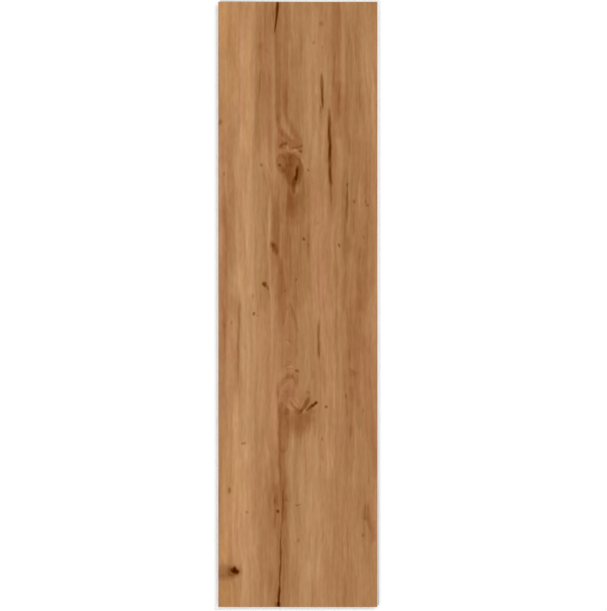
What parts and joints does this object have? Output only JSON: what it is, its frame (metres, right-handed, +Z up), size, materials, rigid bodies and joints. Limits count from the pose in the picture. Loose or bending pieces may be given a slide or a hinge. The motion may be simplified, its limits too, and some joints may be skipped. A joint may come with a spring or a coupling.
{
  "type": "rigid core vinyl plank",
  "caption": "Flat rectangular flooring plank with an oak print on its face and a milled click lock around its edges: tongue on one side and one end, groove and lip on the others.",
  "frame": {"origin": "on the underside, below the middle of the decorative face between its joint lines", "axes": "+Z up through the wear face, +Y along the plank towards the tongue end, +X across it towards the tongue side"},
  "size_m": [0.2361, 0.8775, 0.006],
  "materials": {
    "printed_vinyl": "matt embossed oak print on the face, bare pale grey core on the milled edges and the underside"
  },
  "bodies": {
    "root": {"plank": "printed_vinyl"}
  },
  "joints": []
}
